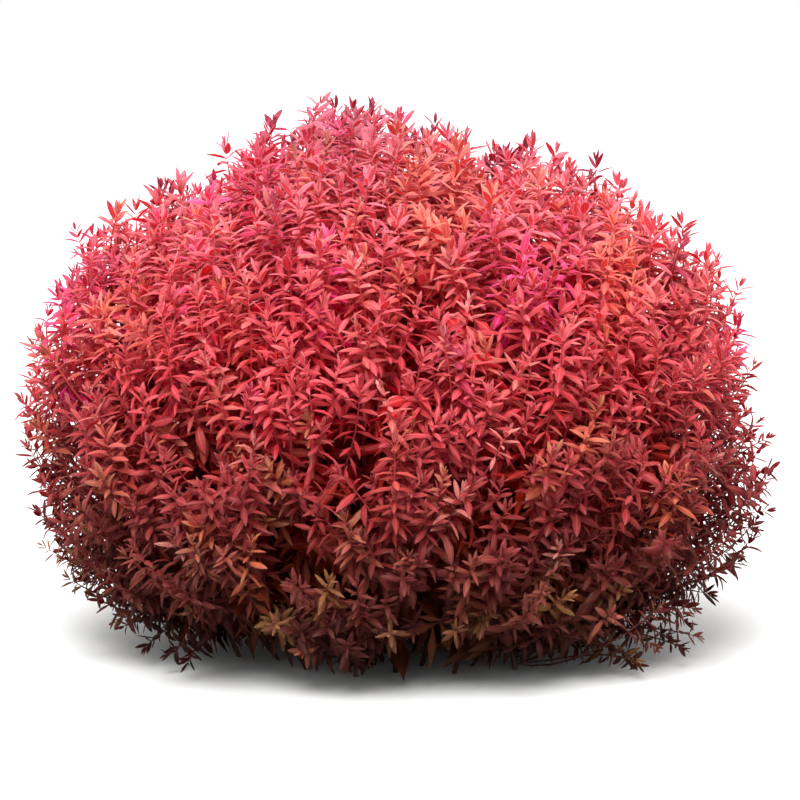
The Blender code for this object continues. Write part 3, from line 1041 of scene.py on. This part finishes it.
def stemMaterial():
    material = bpy.data.materials.new("stemSkin")
    material.use_nodes = True
    tree = material.node_tree
    shader = tree.nodes["Principled BSDF"]
    shader.inputs["Roughness"].default_value = stemLook["dullness"]
    ramp = addNode(tree, "ShaderNodeValToRGB", -400, 0)
    foot, top = ramp.color_ramp.elements
    foot.position = stemLook["footHeight"]
    foot.color = stemLook["footColour"]
    top.position = stemLook["topHeight"]
    top.color = stemLook["topColour"]
    tree.links.new(heightOf(tree, -900, 0), ramp.inputs["Fac"])
    tree.links.new(ramp.outputs["Color"], shader.inputs["Base Color"])
    return material


colourGroup = leafColours()
leafMaterials = {name: leafMaterial(name, finish, colourGroup) for name, finish in finishes.items()}
stemSkin = stemMaterial()
print("materials made")

slotOf = {p["node"]: p["material_slot"] for p in frame["record"]["subparts"]}
planned = planStems()
planShoots(planned)
triangles = 0
for index, stem in enumerate(planned):
    mesh, node = growStem(index, stem)
    piece = bpy.data.objects.new(mesh.name, mesh)
    bpy.context.collection.objects.link(piece)
    mesh.materials.append(leafMaterials[slotOf[node]])
    mesh.materials.append(stemSkin)
    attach(piece, "root")
    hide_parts(node)
    triangles += len(mesh.loops) - 2 * len(mesh.polygons)
print("stems grown,", triangles, "triangles")


# Floor, light and camera

studio = {
    "floorRadius": 6.0,
    "floorSides": 96,
    "floorDullness": 0.9,
    "floorGloss": 0.1,
    "floorColour": (0.90, 0.90, 0.89, 1),
    "floorBounce": (0.16, 0.15, 0.15, 1),  # what it gives back to the plant
    "sky": (0.62, 1.40),  # at the horizon and overhead
    "backdrop": (1.0, 1.0, 1.0, 1),
    "sunStrength": 3.2,
    "sunSpread": math.radians(34),
    "sunPlace": (-0.18, -1.05, 1.5),
    "sunTarget": (0, 0, 0.1),
}

camera = {
    "elevation": math.radians(8),
    "distance": 1.75,
    "target": (0.0015, 0.0, 0.1240),
    "viewWidth": 0.400,
    "sensorWidth": 36,
}


def seenOrBounced(tree, seen, bounced):
    # one colour for the camera, and another for the light that goes on from there
    path = addNode(tree, "ShaderNodeLightPath", -500, 0)
    return mixColours(tree, -300, 0, path.outputs["Is Camera Ray"], bounced, seen)


def makeFloor():
    mesh = bmesh.new()
    bmesh.ops.create_circle(
        mesh, cap_ends=True, segments=studio["floorSides"], radius=studio["floorRadius"]
    )
    data = bpy.data.meshes.new("floor")
    mesh.to_mesh(data)
    mesh.free()
    floor = bpy.data.objects.new("floor", data)
    bpy.context.collection.objects.link(floor)
    material = bpy.data.materials.new("paleFloor")
    material.use_nodes = True
    shader = material.node_tree.nodes["Principled BSDF"]
    shader.inputs["Roughness"].default_value = studio["floorDullness"]
    shader.inputs["Specular IOR Level"].default_value = studio["floorGloss"]
    colour = seenOrBounced(material.node_tree, studio["floorColour"], studio["floorBounce"])
    material.node_tree.links.new(colour, shader.inputs["Base Color"])
    data.materials.append(material)
    floor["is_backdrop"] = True


def aim(thing, target):
    way = np.array(target) - np.array(thing.location)
    pitch = math.atan2(way[2], math.hypot(way[0], way[1]))
    thing.rotation_euler = (math.pi / 2 + pitch, 0, math.atan2(-way[0], way[1]))


def makeLights():
    world = bpy.data.worlds.new("studioAir")
    world.use_nodes = True
    tree = world.node_tree
    coords = addNode(tree, "ShaderNodeTexCoord", -1100, -300)
    split = addNode(tree, "ShaderNodeSeparateXYZ", -900, -300)
    tree.links.new(coords.outputs["Generated"], split.inputs[0])
    sky = stretch(tree, -700, -300, split.outputs["Z"], studio["sky"])
    colour = seenOrBounced(tree, studio["backdrop"], sky)
    tree.links.new(colour, tree.nodes["Background"].inputs["Color"])
    bpy.context.scene.world = world
    light = bpy.data.lights.new("softSun", "SUN")
    light.energy = studio["sunStrength"]
    light.angle = studio["sunSpread"]
    sun = bpy.data.objects.new("softSun", light)
    sun.location = studio["sunPlace"]
    bpy.context.collection.objects.link(sun)
    aim(sun, studio["sunTarget"])


def makeCamera():
    data = bpy.data.cameras.new("photoView")
    data.sensor_width = camera["sensorWidth"]
    data.lens = data.sensor_width * camera["distance"] / camera["viewWidth"]
    eye = bpy.data.objects.new("photoView", data)
    lean = camera["elevation"]
    eye.location = np.array(camera["target"]) + camera["distance"] * np.array(
        (0, -math.cos(lean), math.sin(lean))
    )
    bpy.context.collection.objects.link(eye)
    aim(eye, camera["target"])
    bpy.context.scene.camera = eye
    bpy.context.scene.view_settings.view_transform = "Standard"


makeFloor()
makeLights()
makeCamera()
print("studio made")

boxes = {"cad": cadBox, "visual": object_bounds()}
{name: [list(map(float, corner)) for corner in box] for name, box in boxes.items()}
